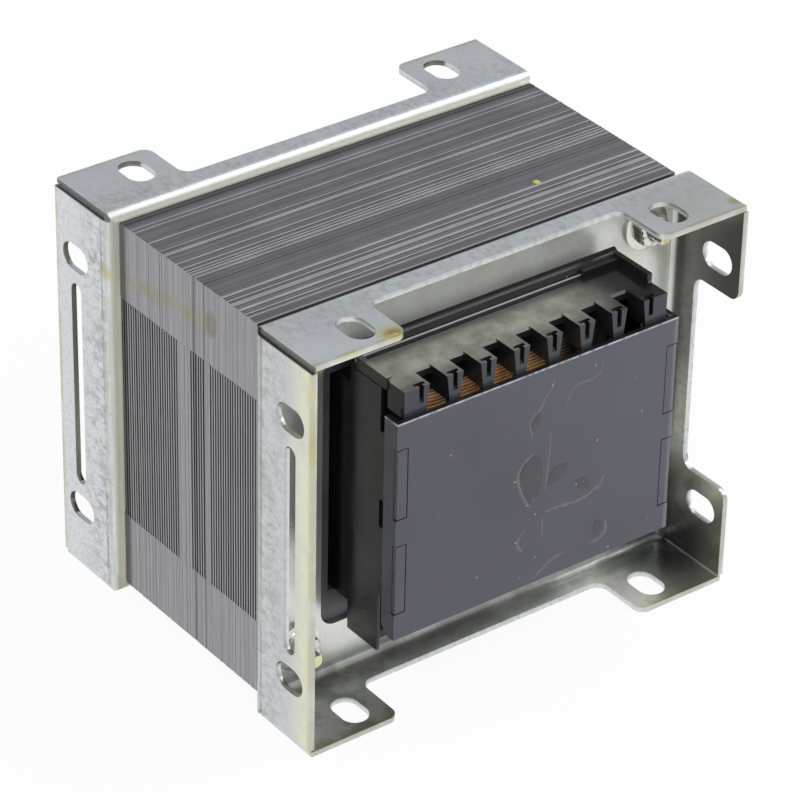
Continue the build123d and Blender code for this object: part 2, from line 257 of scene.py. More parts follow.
class Shader:
    """A node material with short calls for the nodes used here."""

    def __init__(self, name):
        self.mat = bpy.data.materials.new(name)
        self.mat.use_nodes = True
        self.tree = self.mat.node_tree
        self.bsdf = self.tree.nodes["Principled BSDF"]
        self.coord = self.node("ShaderNodeTexCoord").outputs["Object"]

    def node(self, kind):
        return self.tree.nodes.new(kind)

    def join(self, source, socket):
        """Sets a socket to a constant or links it to another."""
        if isinstance(source, (int, float, tuple)):
            socket.default_value = source
        else:
            self.tree.links.new(source, socket)

    def set(self, socket, source):
        self.join(source, self.bsdf.inputs[socket])

    def math(self, kind, a, b=0.0):
        n = self.node("ShaderNodeMath")
        n.operation = kind
        self.join(a, n.inputs[0])
        self.join(b, n.inputs[1])
        return n.outputs[0]

    def times(self, product, *factors):
        """The product of several values."""
        for factor in factors:
            product = self.math("MULTIPLY", product, factor)
        return product

    def scaled(self, scale, turn=(0.0, 0.0, 0.0), source=None):
        n = self.node("ShaderNodeMapping")
        n.inputs["Scale"].default_value = scale
        n.inputs["Rotation"].default_value = turn
        self.join(source or self.coord, n.inputs["Vector"])
        return n.outputs[0]

    def noise(self, scale, detail=3.0, rough=0.5, source=None):
        n = self.node("ShaderNodeTexNoise")
        n.inputs["Scale"].default_value = scale
        n.inputs["Detail"].default_value = detail
        n.inputs["Roughness"].default_value = rough
        self.join(source or self.coord, n.inputs["Vector"])
        return n.outputs["Fac"]

    def voronoi(self, scale):
        n = self.node("ShaderNodeTexVoronoi")
        n.inputs["Scale"].default_value = scale
        self.join(self.coord, n.inputs["Vector"])
        return n.outputs["Distance"]

    def ramp(self, value, stops):
        n = self.node("ShaderNodeValToRGB")
        set_stops(n.color_ramp, stops)
        self.join(value, n.inputs["Fac"])
        return n.outputs["Color"]

    def tones(self, noise, dark, light):
        """A noise as colours from dark to light."""
        return self.ramp(noise, [(NOISE_LOW, dark), (NOISE_HIGH, light)])

    def range(self, value, low, high, out_low=0.0, out_high=1.0):
        """A smooth step from out_low to out_high while the value goes from low to high."""
        n = self.node("ShaderNodeMapRange")
        n.interpolation_type = "SMOOTHSTEP"
        n.inputs["From Min"].default_value = low
        n.inputs["From Max"].default_value = high
        n.inputs["To Min"].default_value = out_low
        n.inputs["To Max"].default_value = out_high
        self.join(value, n.inputs["Value"])
        return n.outputs["Result"]

    def spread(self, noise, low, high):
        """A noise as values from low to high."""
        return self.range(noise, NOISE_LOW, NOISE_HIGH, low, high)

    def band(self, value, start, full, fading, end):
        """One between full and fading, and nothing before start and past end."""
        return self.times(self.range(value, start, full), self.range(value, end, fading))

    def mix(self, factor, a, b, kind="MIX"):
        n = self.node("ShaderNodeMix")
        n.data_type = "RGBA"
        n.blend_type = kind
        self.join(factor, n.inputs["Factor"])
        self.join((*a, 1.0) if isinstance(a, tuple) else a, n.inputs["A"])
        self.join((*b, 1.0) if isinstance(b, tuple) else b, n.inputs["B"])
        return n.outputs["Result"]

    def axes(self, source):
        n = self.node("ShaderNodeSeparateXYZ")
        self.join(source, n.inputs[0])
        return n.outputs

    def places(self):
        """The surface's x, y and z in the part's frame, in millimetres."""
        n = self.node("ShaderNodeVectorMath")
        n.operation = "SCALE"
        n.inputs["Scale"].default_value = 1.0 / MM
        self.join(self.coord, n.inputs[0])
        return self.axes(n.outputs[0])

    def facing(self, kind="True Normal"):
        """The surface's own direction, as three parts."""
        return self.axes(self.node("ShaderNodeNewGeometry").outputs[kind])

    def spot(self, centre, radii, soft=0.5):
        """One inside an ellipsoid given in millimetres, fading to nothing at its surface."""
        n = self.node("ShaderNodeMapping")
        n.vector_type = "TEXTURE"
        n.inputs["Location"].default_value = [c * MM for c in centre]
        n.inputs["Scale"].default_value = [r * MM for r in radii]
        self.join(self.coord, n.inputs["Vector"])
        length = self.node("ShaderNodeVectorMath")
        length.operation = "LENGTH"
        self.join(n.outputs[0], length.inputs[0])
        return self.range(length.outputs["Value"], 1.0, soft)

    def specks(self, scale, size, patches, few):
        """Small specks that lie in patches."""
        dots = self.range(self.voronoi(scale), size, 0.02)
        return self.times(dots, self.range(self.noise(patches, 1, 0.5), few, 0.66))

    def bump(self, height, strength, distance=0.2, normal=None):
        """Bumps as high as the distance in millimetres."""
        n = self.node("ShaderNodeBump")
        n.inputs["Strength"].default_value = strength
        n.inputs["Distance"].default_value = distance * MM
        self.join(height, n.inputs["Height"])
        if normal is not None:
            self.join(normal, n.inputs["Normal"])
        return n.outputs["Normal"]


# Materials

# Stains of varnish on the end frames: centre, radii, share and colour
ZINC_STAINS = (
    ((-44.0, 22.1, 64.1), (3.0, 2.0, 2.4), 0.7, (0.50, 0.47, 0.22)),
    ((-44.0, 22.1, 58.6), (2.4, 1.4, 1.5), 0.4, (0.54, 0.51, 0.28)),
    ((38.0, -30.0, FRAME_TOP), (17.0, 12.0, 1.5), 0.4, (0.47, 0.48, 0.41)),
    ((43.4, -34.2, FRAME_TOP), (1.8, 1.8, 1.2), 0.75, (0.42, 0.41, 0.16)),
    ((-27.9, -35.2, FRAME_TOP), (4.2, 3.2, 1.4), 0.85, (0.64, 0.57, 0.27)),
    ((-28.0, -35.4, FRAME_TOP), (2.5, 1.7, 1.4), 0.85, (0.36, 0.28, 0.10)),
    ((-37.0, -36.6, FRAME_TOP), (6.0, 1.0, 1.4), 0.5, (0.62, 0.57, 0.30)),
    ((-44.4, -36.5, 60.0), (1.4, 1.0, 6.0), 0.6, (0.52, 0.46, 0.20)),
    ((-44.4, -36.5, 69.5), (1.4, 2.0, 4.0), 0.5, (0.66, 0.60, 0.32)),
)
STAIN_SOFT = 0.2


def zinc_inside(s, x, z, depth, cloud, drip):
    """Colour of the frames' inner faces, olive under dried varnish."""
    inner = s.tones(cloud, (0.68, 0.70, 0.65), (0.80, 0.82, 0.78))
    inner = s.mix(s.range(drip, 0.42, 0.66, 0.0, 0.4), inner, (0.58, 0.59, 0.46))
    # Painted shade darkens the corner between the lower and the right flange
    corner = s.times(s.range(x, 29.5, 40.0), s.range(z, 30.0, 4.0))
    painted_corner_shade = s.times(corner, s.range(depth, 36.8, 27.0, 0.35, 1.0), 0.93)
    inner = s.mix(painted_corner_shade, inner, (0.12, 0.125, 0.115))
    # The foot is darker on the left, and painted shade darkens it along its bend
    foot = s.times(s.range(z, 4.5, 2.5), s.range(x, -8.0, -26.0, 0.0, 0.7))
    foot = s.times(foot, s.range(drip, 0.40, 0.60, 0.25, 1.0))
    inner = s.mix(foot, inner, (0.30, 0.31, 0.28))
    painted_crease_shade = s.times(s.range(z, 4.5, 2.8), s.range(depth, 26.2, 23.6), s.range(drip, 0.3, 0.6, 0.35, 0.65))
    inner = s.mix(painted_crease_shade, inner, (0.20, 0.21, 0.20))
    # The right flange darkens towards its upper ear
    right = s.times(s.range(x, 41.5, 42.5, 0.0, 0.5), s.range(z, 30.0, 60.0))
    return s.mix(right, inner, (0.30, 0.31, 0.27))


def zinc_material():
    """Zinc plated sheet of the end frames: satin blue grey outside, olive under dried varnish inside."""
    s = Shader("zinc_plate")
    x, y, z = s.places()
    depth = s.math("ABSOLUTE", y)
    cloud = s.noise(75, 3, 0.5)
    fine = s.noise(2400, 2, 0.6)
    drip = s.noise(170, 3, 0.6)
    slant = s.scaled((1.0, 1.0, 1.0), [math.radians(turn) for turn in (40, 20, 35)])
    scratches = s.noise(1.0, 2, 0.7, s.scaled((240.0, 2600.0, 2600.0), source=slant))
    rubs = s.noise(1.0, 5, 0.7, s.scaled((800.0, 520.0, 800.0)))
    streaks = s.noise(1.0, 3, 0.6, s.scaled((1400.0, 1400.0, 60.0)))
    outer = s.tones(cloud, (0.65, 0.68, 0.71), (0.71, 0.74, 0.76))
    inner = zinc_inside(s, x, z, depth, cloud, drip)
    within = s.times(s.band(z, 0.4, 0.8, 74.6, 75.1), s.range(s.math("ABSOLUTE", x), 44.2, 43.7))
    base = s.mix(within, outer, inner)
    base = s.mix(s.range(scratches, 0.64, 0.76, 0.0, 0.35), base, (0.88, 0.89, 0.90))
    # The flanges are rubbed dull in short strokes beside the bends
    left = s.range(x, -43.8, -44.3)
    worn = s.times(
        s.band(depth, 21.2, 22.6, 24.0, 33.5),
        s.range(rubs, 0.41, 0.68, 0.0, 0.85),
        s.range(left, 0.0, 1.0, 0.6, 1.0),
    )
    base = s.mix(worn, base, (0.36, 0.38, 0.38))
    grain = s.range(s.noise(1300, 4, 0.7), 0.46, 0.70, 0.0, 0.55)
    base = s.mix(s.times(grain, s.range(left, 0.0, 1.0, 0.35, 1.0)), base, (0.44, 0.45, 0.45))
    # The left flange of the front frame is darker all over
    darker_front_left = s.times(left, s.range(y, -19.5, -21.5), s.spread(cloud, 0.25, 0.5))
    base = s.mix(darker_front_left, base, (0.46, 0.47, 0.47))
    # Towards the core the outside of the bends is darkened: painted shade and painted reflection of the dark
    # core
    aside = s.facing("Normal")[1]
    toward = s.times(aside, y)
    base = s.mix(s.range(toward, -10.0, -15.0, 0.0, 0.8), base, (0.27, 0.27, 0.21))
    # Varnish has run along the free edges: cream on the left front flange, a broken line at the very edge
    cream = s.times(left, s.range(y, -29.0, -35.0), s.range(drip, 0.3, 0.65, 0.35, 0.8))
    base = s.mix(cream, base, (0.80, 0.79, 0.58))
    faces = s.range(s.math("ABSOLUTE", aside), 0.8, 0.5)
    line = s.times(s.range(depth, 35.4, 36.5), s.range(drip, 0.36, 0.58, 0.1, 0.75), faces)
    base = s.mix(line, base, (0.54, 0.50, 0.27))
    rim = s.times(
        within,
        faces,
        s.range(depth, 31.5, 36.2),
        s.range(z, 32.0, 16.0),
        s.range(drip, 0.35, 0.6, 0.1, 0.5),
    )
    base = s.mix(rim, base, (0.34, 0.34, 0.20))
    cut = s.times(s.math("SUBTRACT", 1.0, faces), s.range(depth, 35.8, 36.3))
    cut = s.times(cut, s.range(drip, 0.3, 0.6, 0.3, 0.7))
    base = s.mix(cut, base, (0.46, 0.45, 0.38))
    for centre, radii, share, colour in ZINC_STAINS:
        base = s.mix(s.times(s.spot(centre, radii, STAIN_SOFT), share), base, colour)
    # The left bends are streaked along the core, with a hairline of dirt where the flat flange starts
    bend = s.times(s.range(x, -40.5, -42.0), s.range(depth, 22.9, 22.7))
    bend = s.times(bend, s.range(streaks, 0.40, 0.62, 0.05, 0.55))
    base = s.mix(bend, base, (0.47, 0.46, 0.37))
    hair = s.times(s.band(depth, 22.6, 22.8, 23.0, 23.2), left, s.range(drip, 0.35, 0.6, 0.15, 0.7))
    base = s.mix(hair, base, (0.22, 0.22, 0.19))
    # Painted shade makes the slit between the left flange and the top ear dark
    painted_slit_shade = s.times(s.range(x, -43.7, -43.9), s.band(z, 73.7, 74.0, 75.1, 75.3), 0.85)
    base = s.mix(painted_slit_shade, base, (0.10, 0.10, 0.09))
    s.set("Base Color", base)
    # A dried film takes the metal's shine from the foot and from under the top
    lower = s.times(s.range(z, 4.5, 3.0), s.range(x, 36.0, 29.0, 0.0, 0.75))
    lower = s.times(lower, s.range(x, -6.0, 16.0, 0.45, 1.0))
    upper = s.times(s.range(z, 59.0, 66.0), s.range(x, 42.0, 41.0))
    film = s.times(within, s.math("MAXIMUM", lower, upper))
    s.set("Metallic", s.range(film, 0.0, 1.0, 0.94, 0.35))
    rough = s.math("ADD", s.spread(cloud, 0.34, 0.40), s.times(worn, 0.12))
    rough = s.math("SUBTRACT", rough, s.times(within, 0.07))
    s.set("Roughness", rough)
    s.set("Normal", s.bump(rubs, 0.03, 0.3, s.bump(fine, 0.05)))
    return s.mat


def core_material():
    """Varnished edges and faces of the core sheets."""
    s = Shader("core_steel")
    x, y, z = s.places()
    tone = s.node("ShaderNodeAttribute")
    tone.attribute_name = "sheet_tone"
    top_tone, side_tone = s.axes(tone.outputs["Color"])[:2]
    ahead, up = [s.math("ABSOLUTE", part) for part in s.facing()[1:]]
    level = s.range(up, 0.5, 0.8)
    sheet = s.math("ADD", s.times(top_tone, level), s.times(side_tone, s.math("SUBTRACT", 1.0, level)))
    # Painted shade: the sheets' front and back faces are darker than their edges
    sheet = s.times(sheet, s.range(ahead, 0.5, 0.8, 1.0, 0.45))
    cloud = s.noise(120, 4, 0.6)
    along = s.noise(1.0, 3, 0.6, s.scaled((70.0, 1500.0, 70.0)))
    base = s.tones(cloud, (0.270, 0.262, 0.280), (0.315, 0.306, 0.324))
    base = s.mix(s.range(along, 0.50, 0.80, 0.0, 0.5), base, (0.40, 0.39, 0.40))
    grey = s.node("ShaderNodeCombineColor")
    for socket in grey.inputs[:3]:
        s.join(sheet, socket)
    base = s.mix(1.0, base, grey.outputs[0], "MULTIPLY")
    # A tan varnish stain slants across the upper zone of the left side
    height = s.math("ADD", z, s.times(y, 0.139))
    height = s.math("ADD", height, s.spread(s.noise(140, 3, 0.6), -0.7, 0.7))
    stain = s.times(
        s.band(height, 64.3, 66.8, 67.0, 69.4),
        s.range(y, -10.7, -7.2),
        s.range(x, -41.4, -42.4),
        s.spread(s.noise(240, 3, 0.6), 0.35, 0.75),
    )
    base = s.mix(stain, base, (0.37, 0.325, 0.205))
    # Painted shade darkens the sheets where the rear bends meet the core, together with varnish there; dark
    # varnish lies in a patch at the stain's end
    base = s.mix(s.range(y, 17.4, 18.4, 0.0, 0.75), base, (0.075, 0.07, 0.06))
    patch = s.times(s.spot((-42.9, -6.8, 67.8), (2.0, 2.0, 3.2)), 0.5)
    base = s.mix(patch, base, (0.19, 0.18, 0.12))
    s.set("Base Color", base)
    s.set("Metallic", 0.85)
    s.set("Roughness", s.spread(cloud, 0.42, 0.58))
    s.set("Normal", s.bump(along, 0.06, 0.3))
    return s.mat


def moulding_material():
    """Glossy black moulding of the bobbin: the varnish lies thicker on level faces."""
    s = Shader("black_nylon")
    cloud = s.noise(90, 3, 0.5)
    x, y, z = s.places()
    depth = s.math("ABSOLUTE", y)
    ahead, up = s.facing()[1:]
    level = s.range(up, 0.6, 0.9)
    base = s.tones(cloud, (0.010, 0.010, 0.011), (0.016, 0.016, 0.017))
    # Dried varnish makes the terminal plates olive, and a painted dark reflection of the ridge and the right
    # end's lip keeps them black near the ridge and towards the right
    plate = s.times(
        level,
        s.range(depth, 25.8, 28.8),
        s.range(x, 22.5, 9.0),
        s.range(depth, 38.0, 33.0, 0.35, 1.0),
        s.spread(s.noise(230, 4, 0.65), 0.5, 1.0),
    )
    base = s.mix(plate, base, (0.33, 0.335, 0.275))
    # A painted highlight runs as a thin light line along the foot of the ridge
    foot = s.times(s.band(depth, 24.50, 24.60, 24.72, 24.84), s.band(z, 64.0, 64.5, 64.85, 65.0), 0.8)
    base = s.mix(foot, base, (0.55, 0.55, 0.53))
    # The fronts of the teeth are grey
    fronts = s.times(s.range(s.math("ABSOLUTE", ahead), 0.6, 0.9), s.range(depth, 36.2, 36.8))
    base = s.mix(fronts, base, (0.038, 0.039, 0.050))
    base = s.mix(s.times(s.specks(420, 0.055, 150, 0.58), 0.8), base, (0.5, 0.5, 0.48))
    s.set("Base Color", base)
    gloss = s.times(level, s.range(depth, 24.6, 25.0), s.range(x, 21.0, 8.0, 0.15, 1.0))
    s.set("Roughness", s.times(s.spread(cloud, 0.18, 0.28), s.range(gloss, 0.0, 1.0, 1.0, 0.45)))
    s.set("Specular IOR Level", 0.35)
    s.set("Coat Weight", s.range(gloss, 0.0, 1.0, 0.05, 1.0))
    s.set("Coat Roughness", 0.07)
    s.set("Coat IOR", 1.7)
    s.set("Normal", s.bump(s.noise(900, 3, 0.6), 0.05))
    return s.mat


def cover_material():
    """The covers: the same moulding under a thin dried film."""
    s = Shader("cover_plastic")
    cloud = s.noise(60, 3, 0.5)
    fine = s.noise(700, 3, 0.6)
    x, _, z = s.places()
    base = s.tones(cloud, (0.048, 0.049, 0.067), (0.056, 0.057, 0.077))
    # Painted light: the face grows lighter towards the upper right
    base = s.mix(s.range(s.math("ADD", x, z), 30.0, 85.0, 0.0, 0.6), base, (0.074, 0.074, 0.104))
    # A painted highlight lies along the right rim, a broken painted highlight runs along the upper edge, and
    # the edge is black
    base = s.mix(s.range(x, 27.9, 28.6, 0.0, 0.7), base, (0.16, 0.16, 0.19))
    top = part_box("front_cover")[1][2] / MM
    film = s.times(s.range(z, top - 0.42, top - 0.26), s.range(fine, 0.38, 0.56, 0.25, 0.9))
    base = s.mix(film, base, (0.46, 0.46, 0.48))
    base = s.mix(s.range(s.facing()[2], 0.55, 0.8), base, (0.012, 0.012, 0.014))
    base = s.mix(s.times(s.specks(300, 0.05, 110, 0.56), 0.9), base, (0.6, 0.6, 0.58))
    s.set("Base Color", base)
    s.set("Roughness", s.spread(cloud, 0.24, 0.34))
    s.set("Specular IOR Level", 0.6)
    s.set("Normal", s.bump(fine, 0.03))
    return s.mat


def wire_material(first, pitch):
    """Enamelled wire in turns a pitch apart, the first turn's middle at the height first."""
    s = Shader("copper_wire")
    tone = s.noise(500, 2, 0.5)
    base = s.ramp(tone, [(0.25, (0.92, 0.36, 0.11)), (0.5, (1.0, 0.50, 0.20)), (0.75, (1.0, 0.66, 0.36))])
    # Painted shade darkens the gaps between the turns, and the coil's upper end, left end and right part are
    # painted black as shade
    x, _, z = s.places()
    phase = s.math("FRACT", s.math("DIVIDE", s.math("SUBTRACT", z, first), pitch))
    between = s.range(s.math("ABSOLUTE", s.math("SUBTRACT", phase, 0.5)), 0.17, 0.08)
    base = s.mix(between, base, (0.06, 0.02, 0.01))
    shade = s.math("MAXIMUM", s.range(z, 57.9, 58.3), s.range(x, -19.0, -20.8))
    shade = s.math("MAXIMUM", shade, s.range(x, 4.0, 13.0))
    base = s.mix(shade, base, (0.012, 0.011, 0.010))
    s.set("Base Color", base)
    s.set("Metallic", 0.15)
    s.set("Roughness", s.math("ADD", s.spread(tone, 0.24, 0.34), s.times(shade, 0.4)))
    s.set("Coat Weight", s.range(shade, 0.0, 1.0, 0.5, 0.0))
    s.set("Normal", s.bump(s.noise(2500, 2, 0.5), 0.05, 0.1))
    return s.mat


def fastener_material():
    """Bright plated bolts, nuts and washers."""
    s = Shader("bright_fastener")
    cloud = s.noise(600, 3, 0.6)
    base = s.tones(cloud, (0.66, 0.66, 0.63), (0.78, 0.78, 0.75))
    base = s.mix(s.range(s.noise(260, 2, 0.5), 0.45, 0.62, 0.0, 0.2), base, (0.58, 0.52, 0.34))
    # Varnish has dried yellow on the ends of the bolts
    base = s.mix(s.range(s.places()[1], -26.40, -26.55, 0.0, 0.8), base, (0.88, 0.82, 0.50))
    s.set("Base Color", base)
    s.set("Metallic", 1.0)
    s.set("Roughness", s.spread(cloud, 0.16, 0.28))
    s.set("Normal", s.bump(cloud, 0.06))
    return s.mat


def mottled_material(name, mottle, colours, rough, bump, metallic=0.0, specular=0.5, grain=None):
    """A plain surface whose mottle sets its colour, its roughness and, without a grain, its bumps."""
    s = Shader(name)
    tone = s.noise(*mottle)
    s.set("Base Color", s.tones(tone, *colours))
    s.set("Metallic", metallic)
    s.set("Roughness", s.spread(tone, *rough))
    s.set("Specular IOR Level", specular)
    s.set("Normal", s.bump(s.noise(*grain) if grain else tone, *bump))
    return s.mat


def film_material(name, colour, rough):
    """Film dried on the cover."""
    dark = tuple(0.75 * part for part in colour)
    return mottled_material(name, (500, 2, 0.5), (dark, colour), (rough, rough + 0.1), (0.05,), specular=0.6)


# Sizes of the coil that shows
low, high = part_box("secondary_winding")
coil_x = high[0] / MM
coil_y = high[1] / MM
coil_low = low[2] / MM
coil_high = high[2] / MM
layer_step = LAYERED_DEPTH / LAYERS
rows = int((coil_high - coil_low - 2 * WIRE_R) / (2 * WIRE_R + TURN_GAP))
row_step = (coil_high - coil_low - 2 * WIRE_R) / rows

zinc = zinc_material()
core = core_material()
nylon = moulding_material()
liner = mottled_material(
    "liner_sheet", (90, 3, 0.5), ((0.005, 0.005, 0.006), (0.009, 0.009, 0.010)), (0.22, 0.30), (0.06,),
    grain=(800, 3, 0.6),
)
cover = cover_material()
film_rim = film_material("film_rim", (0.115, 0.115, 0.135), 0.14)
film_pool = film_material("film_pool", (0.044, 0.044, 0.056), 0.12)
film_speck = film_material("film_speck", (0.55, 0.55, 0.53), 0.3)
wire = wire_material(coil_low + WIRE_R, row_step)
tape = mottled_material(
    "film_tape", (220, 3, 0.5), ((0.62, 0.46, 0.10), (0.78, 0.62, 0.20)), (0.25, 0.4), (0.15, 0.3),
)
bright = fastener_material()
tinned = mottled_material(
    "tinned_brass", (800, 3, 0.6), ((0.62, 0.61, 0.58), (0.78, 0.77, 0.74)), (0.22, 0.42), (0.12,),
    metallic=1.0,
)
varnish = mottled_material(
    "dried_varnish", (400, 2, 0.5), ((0.34, 0.25, 0.04), (0.62, 0.52, 0.12)), (0.12, 0.22), (0.1,),
)


# Core: sheets of E and I laid alternately, the leg edges of one kind lying a little back

def bolt_ring(centre_x, centre_z):
    ring = []
    for k in range(HOLE_SIDES):
        turn = 2 * math.pi * k / HOLE_SIDES
        ring.append((centre_x + HOLE_R * math.cos(turn), centre_z + HOLE_R * math.sin(turn)))
    return ring


def flat_mesh(outline, holes):
    """Points and triangles of a flat outline with holes, and the edges of its walls."""
    loops = [outline] + holes
    flat = [point for loop in loops for point in loop]
    triangles = tessellate_polygon([[Vector((x, z, 0.0)) for x, z in loop] for loop in loops])
    walls = []
    base = 0
    for loop in loops:
        walls.extend((base + k, base + (k + 1) % len(loop)) for k in range(len(loop)))
        base += len(loop)
    return flat, triangles, walls


def sheet_shapes(recess):
    """The E with its yoke at the foot, and its I, from the core's middle foot; legs narrowed by recess."""
    half = 3 * LEG
    yoke, tip = LEG, 4 * LEG
    edge = half - recess
    e_outline = [
        (-half, 0.0), (half, 0.0), (half, yoke), (edge, yoke), (edge, tip), (2 * LEG, tip), (2 * LEG, yoke),
        (LEG, yoke), (LEG, tip), (-LEG, tip), (-LEG, yoke), (-2 * LEG, yoke), (-2 * LEG, tip),
        (-edge, tip), (-edge, yoke), (-half, yoke),
    ]
    if recess == 0.0:
        e_outline = [point for point in e_outline if point not in ((half, yoke), (-half, yoke))]
    i_low, i_high = tip + JOINT_GAP, 5 * LEG
    i_outline = [(-half, i_low), (half, i_low), (half, i_high), (-half, i_high)]
    e_holes = [bolt_ring(-BOLT_X, LEG / 2), bolt_ring(BOLT_X, LEG / 2)]
    i_holes = [bolt_ring(-BOLT_X, 4.5 * LEG), bolt_ring(BOLT_X, 4.5 * LEG)]
    return flat_mesh(e_outline, e_holes), flat_mesh(i_outline, i_holes)


def held(value, lowest, highest):
    return max(lowest, min(highest, value))


def among(value, spans):
    return any(start < value < end for start, end in spans)


def core_sheets():
    """Points and faces of all sheets, and each point's two tones."""
    verts, faces, tones = [], [], []
    pitch = STACK / SHEET_COUNT
    plain_shapes = sheet_shapes(0.0)
    narrow_shapes = sheet_shapes(LEG_RECESS)
    for index in range(SHEET_COUNT):
        turned = index % 2 == 0
        middle = STACK / 2 - (index + 0.5) * pitch
        light = any(abs(middle - place) < 0.52 * pitch for place in LIGHT_SHEETS)
        gap = WIDE_GAP if among(middle, WIDE_SPANS) else SHEET_GAP
        front = middle - pitch / 2 + gap
        back = middle + pitch / 2 - gap
        shapes = narrow_shapes if turned and not among(middle, LEVEL_SPANS) else plain_shapes
        for flat, triangles, walls in shapes:
            jog_x = rng.gauss(0.0, JOG)
            jog_z = held(rng.gauss(0.0, JOG), -JOG_LIMIT, JOG_LIMIT) + (LIGHT_PROUD if light else 0.0)
            top_tone = rng.gauss(*(LIGHT_TONE if light else TOP_TONE))
            side_tone = held(rng.gauss(*SIDE_TONE), SIDE_TONE_LOW, SIDE_TONE_HIGH)
            base = len(verts)
            count = len(flat)
            for depth in (front, back):
                for px, pz in flat:
                    if turned:
                        pz = 5 * LEG - pz
                    verts.append((px + jog_x, depth, BASE + pz + jog_z))
                    tones.append((top_tone, side_tone))
            for a, b, c in triangles:
                if turned:
                    a, c = c, a
                faces.append((base + a, base + b, base + c))
                faces.append((base + count + c, base + count + b, base + count + a))
            for a, b in walls:
                if turned:
                    a, b = b, a
                faces.append((base + a, base + count + a, base + count + b, base + b))
    return verts, faces, tones


sheet_verts, sheet_faces, sheet_tones = core_sheets()
stack = add_mesh("core_sheets", (sheet_verts, sheet_faces), core, smooth=False)
reworked(stack, faced_out)
attribute = stack.data.color_attributes.new("sheet_tone", "FLOAT_COLOR", "POINT")
attribute.data.foreach_set("color", [v for top, side in sheet_tones for v in (top, side, 0.0, 1.0)])
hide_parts("lamination_stack")

# End frames, mouldings, covers and tags: the solids with rounded edges
dressed("front_frame", FRAME_EDGE, zinc, roots=True)
dressed("rear_frame", FRAME_EDGE, zinc, roots=True)
dressed("bobbin", BOBBIN_EDGE, nylon)
dressed("front_cover", COVER_EDGE, cover, segments=3)
dressed("rear_cover", COVER_EDGE, cover, segments=3)
for side in ("left_side_liner", "right_side_liner"):
    piece = dressed(side, LINER_EDGE, liner)
    piece.data.materials.append(cover)
    for polygon in piece.data.polygons:
        if abs(polygon.center.y) > TONGUE_DEPTH * MM:
            polygon.material_index = 1
dressed("terminal_tags", TAG_EDGE, tinned)
for node, material in (("primary_winding", wire), ("interwinding_insulation", tape)):
    nodes[node].data.materials.clear()
    nodes[node].data.materials.append(material)


# Secondary: turns of wire on the faces of the coil that can be seen

def turn_points(half_x, half_y, corner, level, steps=5):
    """A closed turn round the tube at one level, rounded at its corners and a little uneven."""
    points = []
    for sx, sy, start in ((1, 1, 0), (-1, 1, 90), (-1, -1, 180), (1, -1, 270)):
        for k in range(steps):
            turn = math.radians(start + 90 * k / (steps - 1))
            points.append((
                sx * (half_x - corner) + corner * math.cos(turn),
                sy * (half_y - corner) + corner * math.sin(turn),
                level + rng.uniform(-TURN_WANDER, TURN_WANDER),
            ))
    return points


def tube(points, sides=7):
    """Points and faces of a closed round wire along level points."""
    verts = []
    faces = []
    count = len(points)
    for k in range(count):
        before = Vector(points[k - 1])
        after = Vector(points[(k + 1) % count])
        ahead = (after - before).normalized()
        side = ahead.cross(Vector((0.0, 0.0, 1.0))).normalized()
        up = side.cross(ahead)
        for j in range(sides):
            turn = 2 * math.pi * j / sides
            verts.append(tuple(Vector(points[k]) + WIRE_R * (math.cos(turn) * side + math.sin(turn) * up)))
    for k in range(count):
        for j in range(sides):
            a = k * sides + j
            b = k * sides + (j + 1) % sides
            c = ((k + 1) % count) * sides + (j + 1) % sides
            d = ((k + 1) % count) * sides + j
            faces.append((a, d, c, b))
    return verts, faces


turns = []
for layer in range(LAYERS):
    inset = (layer + 0.5) * layer_step
    for row in range(rows + 1):
        if layer > 0 and LAST_LOW_ROW < row < rows - HIGH_ROWS:
            continue
        level = coil_low + WIRE_R + row * row_step
        turns.append(tube(turn_points(coil_x - inset, coil_y - inset, COIL_CORNER - inset, level)))
coil = add_mesh("secondary_turns", joined(turns), wire, sharp=70)
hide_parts("secondary_winding")


# Fasteners: bolts with a thread at the end, chamfered nuts and washers

# A radius that leaves only a pinhole at the axis
AXIS_R = 0.02
washer_front = RING_FACE - WASHER
nut_front = washer_front - NUT
bolt_tip = nut_front - BOLT_PROUD
head_back = -RING_FACE + HEAD
half_flats = FLATS / 2
corner_r = half_flats / math.cos(math.pi / 6)
bore = BOLT_R + 0.05
hole = BOLT_R + 0.15


def hex_profile(rows, sides=72):
    """A hexagon along Y whose corners are turned off: rows of (depth, radius limit)."""
    verts = []
    for depth, limit in rows:
        for k in range(sides):
            turn = 2 * math.pi * k / sides
            within = (turn + math.pi / 6) % (math.pi / 3) - math.pi / 6
            reach = min(FLATS / 2 / math.cos(within), limit)
            corner = turn + math.pi / 6
            verts.append((reach * math.cos(corner), depth, reach * math.sin(corner)))
    return verts, ring_faces(len(rows), sides)


def placed(shape, centre, spin):
    """A shape about the Y axis, spun and moved to centre (x, z)."""
    verts, faces = shape
    c, s = math.cos(spin), math.sin(spin)
    return [(centre[0] + c * x - s * z, y, centre[1] + s * x + c * z) for x, y, z in verts], faces


def bolt_profile():
    """The bolt's end, its thread out of the nut and its plain shank, as (radius, depth)."""
    crest, root = BOLT_R - 0.03, BOLT_R - 0.27
    pitch = 0.5
    profile = [(AXIS_R, bolt_tip), (BOLT_R - 0.42, bolt_tip), (BOLT_R - 0.3, bolt_tip + 0.08)]
    depth = bolt_tip + 0.3
    while depth < nut_front + 0.6:
        profile += [(root, depth - 0.1), (crest, depth + 0.1), (crest, depth + 0.17)]
        depth += pitch
    return profile + [(crest, depth), (crest, -RING_FACE)]


def welded_out(bm):
    bmesh.ops.remove_doubles(bm, verts=bm.verts, dist=1e-7)
    faced_out(bm)


